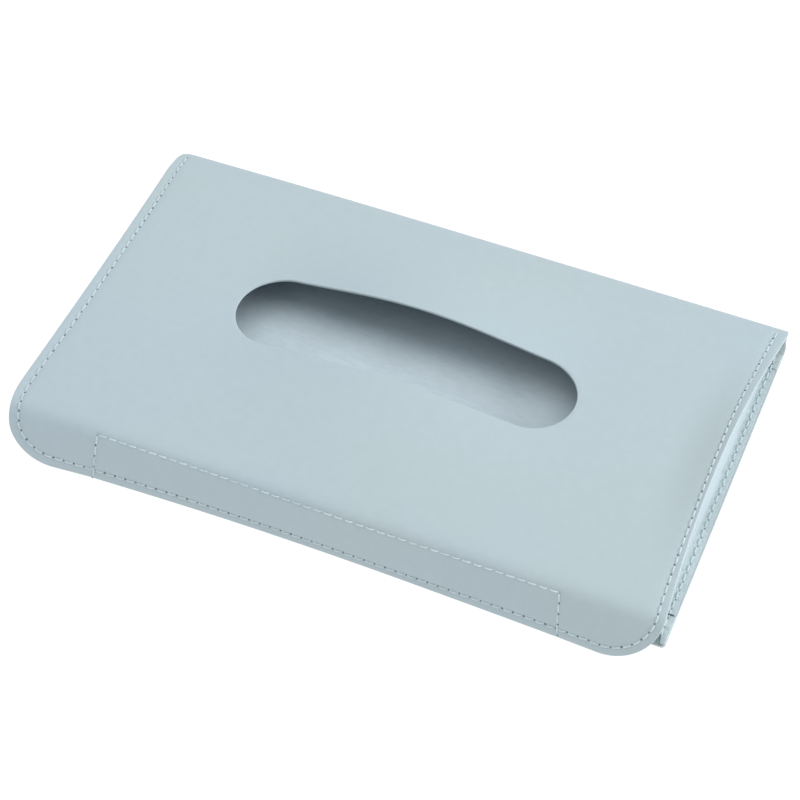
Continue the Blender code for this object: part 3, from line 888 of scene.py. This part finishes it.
LEATHER_FACE = leather_material()
LEATHER_EDGE = tinted("cut_edge", (0.56, 0.67, 0.72), 0.08, 0.75, 2400, 0.00008)
LEATHER_BACK = tinted("leather_backing", (0.52, 0.61, 0.62), 0.06, 0.85, 2600, 0.00010, (1, 0.4, 1))
GUSSET_FACE = tinted("gusset_leather", (0.64, 0.74, 0.79), 0.03, 0.5, 1500, 0.00003)
PUCKERED = tinted("puckered_leather", (0.63, 0.735, 0.755), 0.12, 0.6, 650, 0.0006)
BACK_EDGE = tinted("dull_cut_edge", (0.50, 0.58, 0.62), 0.08, 0.8, 2400, 0.00008)
THREAD = tinted("pale_thread", (0.68, 0.79, 0.83), 0.08, 0.55, 5200, 0.00006, (1, 0.5, 1))
DARK_THREAD = tinted("bar_thread", (0.12, 0.17, 0.20), 0.15, 0.6, 5200, 0.00006)
# Painted shade: the dark discs that stand for the needle holes, darker on the main seams and paler on the
# flanges.
HOLE_SHADE = tinted("needle_hole", (0.20, 0.27, 0.30), 0.15, 0.9, 3000, 0.00003)
PALE_HOLE_SHADE = tinted("paler_hole", (0.42, 0.50, 0.54), 0.15, 0.9, 3000, 0.00003)
CLOTH = tinted("brushed_cloth", (0.715, 0.84, 0.905), 0.08, 0.95, 1300, 0.00022, (0.35, 1, 1), 0.1)
# Painted shade: the cover's lining is the floor lining's brushed cloth made nearly black, so that the inside
# under the slot's lips looks deeply shaded.
PAINTED_SHADE_CLOTH = tinted("shaded_cloth", (0.11, 0.17, 0.23), 0.10, 0.95, 1300, 0.00022, (0.35, 1, 1), 0.1)
ELASTIC = tinted("black_elastic", (0.030, 0.031, 0.034), 0.25, 0.85, 3200, 0.00012, (1, 0.5, 1), 0.25)
FIBREBOARD = tinted("fibre_board", (0.33, 0.30, 0.26), 0.14, 0.85, 1600, 0.00010)


def magnet_material():
    """Nickel plate with fine turned marks and a few duller spots."""
    made, tree, shader = new_material("nickel_plate")
    shader.inputs["Metallic"].default_value = 1.0
    spots = ramp(tree, noise(tree, 700, 4), [(0.4, (0.50, 0.49, 0.46)), (0.6, (0.63, 0.62, 0.60))])
    tree.links.new(spots, shader.inputs["Base Color"])
    tree.links.new(ramp(tree, noise(tree, 900, 3), [(0.3, 0.22), (0.7, 0.38)]), shader.inputs["Roughness"])
    bumped(tree, shader, noise(tree, 2500, 4), 0.3, 0.00002)
    return made


# Pieces

def add_front():
    """Cover, crease and flap, with the slot, and the seams round the edge and the magnets' strip."""
    seams = [edge_seam(), *patch_seams()]
    made = cut_sheet("front_leather", leather_face, [front_outline(), slot_outline()], LEATHER,
                     [LEATHER_FACE, LEATHER_EDGE, LEATHER_BACK], CUT_ROUNDING, seams, butt=JOIN_V)
    span = leather_face([0, 0], [-CREASE_DEPTH + CREASE_REACH, -CREASE_DEPTH - CREASE_REACH])
    start, end = (tuple(place) for place in span)
    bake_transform(made)
    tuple(start)
    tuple(end)
    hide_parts("front_panel", "flap_crease", "closing_flap")
    place = over_seams(leather_face, seams)
    for piece in (
        stitch_line("edge_stitches", seams[:1], place, THREAD),
        stitch_line("flap_strip_stitches", seams[1:], place, THREAD, PATCH_SPREAD),
        # Dark discs of painted shade at the needle holes.
        needle_holes("edge_needle_holes", seams[:1], place, HOLE_SHADE),
        needle_holes("flap_strip_needle_holes", seams[2:], place, HOLE_SHADE),
    ):
        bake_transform(piece)
        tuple(start)
        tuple(end)


def add_back():
    """Fold and back, with the four slits for the bands."""
    x, v = HALF_WIDTH - BACK_CORNER, BACK_END - BACK_CORNER
    loop = run([
        *fold_edge(1, JOIN_V, SPINE_LENGTH + FOLD_TRIM_REACH),
        *arc((x, v), BACK_CORNER, 0, 90),
        *arc((-x, v), BACK_CORNER, 90, 180),
        *fold_edge(-1, SPINE_LENGTH + FOLD_TRIM_REACH, JOIN_V),
        fold_edge(1, JOIN_V, SPINE_LENGTH)[0],
    ])[:-1]
    slits = []
    half, thin = SLIT_LENGTH / 2, SLIT_WIDTH / 2
    for x in (-BAND_CENTRE, BAND_CENTRE):
        for depth in (FAR_SLIT_DEPTH, NEAR_SLIT_DEPTH):
            v = SPINE_LENGTH + depth + SPINE_Y
            slits.append(rectangle(x - half, x + half, v - thin, v + thin, thin, SLIT_STEP)[::-1])
    seams = back_seams()
    made = cut_sheet("back_leather", leather_face, [loop, *slits], LEATHER,
                     [LEATHER_FACE, BACK_EDGE, LEATHER_BACK], CUT_ROUNDING, seams, butt=JOIN_V)
    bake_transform(made)
    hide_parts("back_panel", "spine_fold")
    sewn("back_stitches", seams, leather_face, "back")


def softened(points, reach, steps):
    """A section's corners turned into short curves. Points are arrays of stations by (x, z)."""
    made = [points[0]]
    for before, corner, after in zip(points, points[1:], points[2:]):
        back, ahead = before - corner, after - corner
        sizes = (np.linalg.norm(way, axis=-1, keepdims=True) for way in (back, ahead))
        cut = np.minimum(np.minimum(*sizes) * BEND_SHARE, reach)
        a, b = corner + unit(back) * cut, corner + unit(ahead) * cut
        for t in np.linspace(0, 1, steps):
            made.append(a * (1 - t) ** 2 + corner * 2 * t * (1 - t) + b * t * t)
    return [*made, points[-1]]


def add_gusset(name, side):
    """V-folded gusset, sewn under the cover's edge and on the back's edge, its fold turned inwards."""
    depth = np.linspace(GUSSET_START, BACK_DEPTH - GUSSET_MOUTH_INSET, GUSSET_STATIONS)
    insets = (FLANGE_OUTER_INSET, FLANGE_INNER_INSET)
    outer, inner = (np.full_like(depth, HALF_WIDTH - inset) for inset in insets)
    under = under_leather(LEATHER + CLEAR + GUSSET / 2)
    top_outer, top_inner = under(outer, -depth), under(inner, -depth)
    level = np.full_like(depth, INNER_LEVEL + GUSSET / 2)
    foot_outer, foot_inner = (stacked(x, top_inner[:, 1], level) for x in (outer, inner))
    gap = top_inner[:, 2] - level
    leaf = (gap + depth * math.tan(math.radians(COVER_OPEN_DEG))) / 2
    inward = np.sqrt(leaf ** 2 - (gap / 2) ** 2)
    apex = (top_inner + foot_inner) / 2
    apex[:, 0] -= inward
    blunt = np.array([0, 0, APEX_HALF_HEIGHT])
    corners = [top_outer, top_inner, apex + blunt, apex - blunt, foot_inner, foot_outer]
    section = np.array(softened(corners, FLANGE_BEND, FLANGE_BEND_STEPS))
    line = np.stack([resampled(section[:, k], GUSSET_POINTS) for k in range(len(depth))], axis=1)
    normal = unit(np.cross(np.gradient(line, axis=0), np.gradient(line, axis=1)))
    layers = [line - normal * GUSSET / 2, line + normal * GUSSET / 2]
    for layer in layers:
        layer[..., 0] *= side
    made = slab(name, *layers, [GUSSET_FACE, LEATHER_EDGE, LEATHER_BACK, PUCKERED])
    for part in made.data.polygons:
        if part.material_index == 0 and abs(part.center.x) > HALF_WIDTH - FLANGE_INNER_INSET:
            part.material_index = 3
    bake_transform(made)
    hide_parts(f"{'left' if side < 0 else 'right'}_gusset")


def slab(name, upper, lower, materials):
    """A closed sheet between two grids of points, turned so that its faces look out."""
    rows, columns = upper.shape[:2]
    vertices = np.concatenate([upper.reshape(-1, 3), lower.reshape(-1, 3)])
    total = rows * columns
    grid = np.arange(total).reshape(rows, columns)
    faces, indices = [], []
    for a in grid[:-1, :-1].ravel():
        quad = (a, a + 1, a + columns + 1, a + columns)
        faces += [quad, tuple(total + quad[k] for k in (0, 3, 2, 1))]
        indices += [0, 2]
    border = [*grid[0], *grid[1:, -1], *grid[-1, -2::-1], *grid[-2:0:-1, 0]]
    for a, b in zip(border, border[1:] + border[:1]):
        faces.append((b, a, total + a, total + b))
        indices.append(1)
    made = mesh_object(name, vertices, faces, materials, indices)
    made.data.calc_loop_triangles()
    triangles = vertices[[tuple(t.vertices) for t in made.data.loop_triangles]]
    if np.linalg.det(triangles).sum() < 0:
        made.data.flip_normals()
    made.data.set_sharp_from_angle(angle=math.radians(SHARP_DEG))
    return made


def add_linings():
    """Brushed cloth under the cover, open round the slot and darkened there as painted shade, and on the
    back's board.
    """
    half = HALF_WIDTH - LINER_SIDE_INSET
    far, near = LINER_FOLD_INSET, CREASE_DEPTH - LINER_MOUTH_INSET
    under = LEATHER + CLEAR + BOARD + CLEAR
    loops = [rectangle(-half, half, -near, -far, LINING_CORNER), slot_outline(LINING_SLOT_MARGIN)]
    # The cover's lining wears the painted shade cloth.
    front = cut_sheet("cover_lining", under_leather(under), loops, LINING, [PAINTED_SHADE_CLOTH] * 3, THIN_ROUNDING)
    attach(front, "cover")
    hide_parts("front_lining")

    near = BACK_POCKET_FAR - CLEAR
    loops = [rectangle(-half, half, -near, -far, LINING_CORNER)]
    back = cut_sheet("floor_lining", level_face(LINING_LEVEL + LINING), loops, LINING, [CLOTH] * 3,
                     THIN_ROUNDING, relief=cloth_relief)
    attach(back, "back")
    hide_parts("back_lining")


def cloth_relief(x, v):
    """Faint waves of a cloth that is glued down by hand."""
    across, askew, lengthwise = WAVE_RATES
    return WAVE_HEIGHT * np.sin(x * across + 2 * np.sin(v * askew)) * np.cos(v * lengthwise)


def add_magnet_strips():
    """The sewn leather strips over the magnets, raised a little over each disc."""
    for body, face, low, high, stitches in (
        ("back", level_face(INNER_LEVEL + POCKET_HEIGHT), -BACK_POCKET_FAR - POCKET_WIDTH,
         -BACK_POCKET_FAR, "back_strip_stitches"),
        ("flap", inside_leather(LEATHER + CLEAR + POCKET_HEIGHT), CREASE_DEPTH + CREASE_REACH,
         FRONT_DEPTH - POCKET_EDGE_INSET, "flap_strip_inner_stitches"),
    ):
        def raised(x, v, middle=(low + high) / 2):
            near = (np.hypot(x - spot, v - middle) for spot in (-MAGNET_SPACING, 0, MAGNET_SPACING))
            return sum(DISC_RISE / (1 + np.exp((gap - DISC_RADIUS) / DISC_SOFTNESS)) for gap in near)

        side, near, far = POCKET_HALF - STRIP_SEAM_INSET, low + STRIP_SEAM_INSET, high - STRIP_SEAM_INSET
        ring = [(-side, near), (side, near), (side, far), (-side, far), (-side, near)]
        seam = Seam(ring, GROOVE_DEPTH / 2, STRIP_GROOVE_WIDTH)
        loop = rectangle(-POCKET_HALF, POCKET_HALF, low, high, STRIP_CORNER)
        made = cut_sheet(f"{body}_magnet_strip", face, [loop], POCKET_HEIGHT,
                         [LEATHER_FACE, LEATHER_EDGE, LEATHER_BACK], STRIP_ROUNDING, [seam], raised)
        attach(made, body)
        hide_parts(f"{body}_magnet_pocket")
        sewn(stitches, [seam], face, body)


def sewn(name, seams, face, body, hole_shade=HOLE_SHADE):
    """Stitches of seams that ride a single body, with dark discs of painted shade at their holes."""
    place = over_seams(face, seams)
    for piece in (
        stitch_line(name, seams, place, THREAD),
        needle_holes(name.replace("stitches", "needle_holes"), seams, place, hole_shade),
    ):
        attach(piece, body)


def add_flanges():
    """The gussets' lower flanges beyond both ends, the border's stitches up through them, and bar tacks."""
    side = HALF_WIDTH - BORDER_INSET
    start = FLANGE_START + BORDER_INSET / 2
    gusset_end = BACK_DEPTH - GUSSET_MOUTH_INSET
    back_end = BACK_DEPTH - FLANGE_OUTER_INSET
    face = level_face(INNER_LEVEL + GUSSET)

    def over_bar(x, v, lift):
        return at(face, x, v, BAR_LIFT * lift)

    outer, inner, tip = (
        HALF_WIDTH - inset for inset in (TONGUE_OUTER_INSET, FLANGE_INNER_INSET, FLANGE_TIP_INSET)
    )
    ends = (("end", -back_end, -gusset_end, tip), ("start", -GUSSET_START, -FLANGE_START, inner))
    for name, sign in (("left", -1), ("right", 1)):
        tongues = []
        for part, near, far, low in ends:
            corners = [(outer, near), (outer, far), (inner, far), (low, near), (outer, near)]
            loop = run([(sign * x, v) for x, v in corners[::sign]])[:-1]
            tongues.append(cut_sheet(f"{name}_flange_{part}", face, [loop], GUSSET,
                                     [PUCKERED, LEATHER_EDGE, LEATHER_BACK], THIN_ROUNDING))
        bar = Seam([(sign * inner, -gusset_end), (sign * HALF_WIDTH, -gusset_end)], pitch=FLANGE_INNER_INSET)
        tack = stitch_line(f"{name}_bar_tack", [bar], over_bar, DARK_THREAD)
        for piece in (*tongues, tack):
            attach(piece, "back")
        seam = Seam([(sign * side, -start), (sign * side, -back_end + BORDER_INSET)], depth=0, pinch=0)
        # The flange seams' holes get paler painted shade.
        sewn(f"{name}_flange_stitches", [seam], face, "back", PALE_HOLE_SHADE)


def add_band(name, side):
    """Ribbed elastic webbing that runs under the back and through two slits, with its tails inside."""
    upper, lower = INNER_LEVEL + BAND / 2, BAND / 2
    far, near = FAR_SLIT_DEPTH, NEAR_SLIT_DEPTH
    corners = [
        (far - BAND_BEND - BAND_TAIL, upper), (far, upper), (far, lower),
        (near, lower), (near, upper), (near + BAND_BEND + BAND_TAIL, upper),
    ]
    corners = [np.array([[0, SHIFT_Y - depth, z]]) for depth, z in corners]
    bent = softened(corners, WEBBING_BEND, WEBBING_BEND_STEPS)
    line = resampled(np.concatenate(bent), WEBBING_STATIONS)
    across = np.linspace(-1, 1, RIBS * RIB_STEPS + 1)
    thick = BAND / 2 * (1 - RIB_DEPTH + RIB_DEPTH * np.abs(np.sin(across * RIBS * math.pi / 2)))
    full, power, least = WEBBING_EDGE
    thick *= np.sqrt(np.clip(full - across ** power, least, 1))
    normal = np.cross(unit(np.gradient(line, axis=0)), np.array([1.0, 0, 0]))
    places = across * BAND_WIDTH / 2 + side * BAND_CENTRE
    centre = line[:, None] + stacked(places, across * 0, across * 0)
    offset = normal[:, None] * thick[:, None]
    made = slab(f"visor_band_{name}_webbing", centre + offset, centre - offset, [ELASTIC] * 3)
    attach(made, "back")
    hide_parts(f"visor_band_{name}")


def dress_parts():
    """Materials of the rigid parts that are shown as they are."""
    plate = magnet_material()
    for name, part in frame["nodes"].items():
        if "stiffener" in name or ("_magnet_" in name and "pocket" not in name):
            part.data.materials.clear()
            part.data.materials.append(FIBREBOARD if "stiffener" in name else plate)


# Stage

def add_camera():
    azimuth, elevation = math.radians(CAMERA_AZIMUTH_DEG), math.radians(CAMERA_ELEVATION_DEG)
    back = Vector((math.sin(azimuth) * math.cos(elevation), -math.cos(azimuth) * math.cos(elevation),
                   math.sin(elevation)))
    data = bpy.data.cameras.new("camera")
    data.lens = CAMERA_LENS
    data.sensor_width = SENSOR_WIDTH
    camera = new_object("camera", data)
    roll = Matrix.Rotation(math.radians(CAMERA_ROLL_DEG), 3, "Z")
    turned = (-back).to_track_quat("-Z", "Y").to_matrix() @ roll
    camera.matrix_world = Matrix.Translation(Vector(CAMERA_TARGET) + back * CAMERA_DISTANCE) @ turned.to_4x4()
    bpy.context.scene.camera = camera


def add_light(name, place, size, power):
    data = bpy.data.lights.new(name, "AREA")
    data.shape = "DISK"
    data.size = size
    data.energy = power
    lamp = new_object(name, data)
    lamp.location = place
    lamp.rotation_euler = (-Vector(place)).to_track_quat("-Z", "Y").to_euler()


def add_stage():
    """Pale floor, soft light from above and an even white surround."""
    world = bpy.data.worlds.new("surround")
    world.use_nodes = True
    background = world.node_tree.nodes["Background"]
    background.inputs["Color"].default_value = (*SURROUND, 1)
    background.inputs["Strength"].default_value = SURROUND_STRENGTH
    bpy.context.scene.world = world
    for light in LIGHTS:
        add_light(*light)
    made, _, shader = new_material("pale_floor")
    for key, value in (
        ("Base Color", (FLOOR_GREY, FLOOR_GREY, FLOOR_GREY, 1)), ("Roughness", FLOOR_ROUGHNESS),
        ("Emission Color", (1, 1, 1, 1)), ("Emission Strength", FLOOR_GLOW),
    ):
        shader.inputs[key].default_value = value
    corners = [(x * FLOOR_HALF, y * FLOOR_HALF, 0) for x, y in ((-1, -1), (1, -1), (1, 1), (-1, 1))]
    floor = mesh_object("floor", corners, [(0, 1, 2, 3)], [made])
    floor.location.z = -FLOOR_DROP
    bpy.context.scene.view_settings.view_transform = "Standard"


add_camera()
add_stage()
add_front()
add_back()
add_gusset("left_gusset_leather", -1)
add_gusset("right_gusset_leather", 1)
add_flanges()
add_linings()
add_magnet_strips()
add_band("left", -1)
add_band("right", 1)
dress_parts()
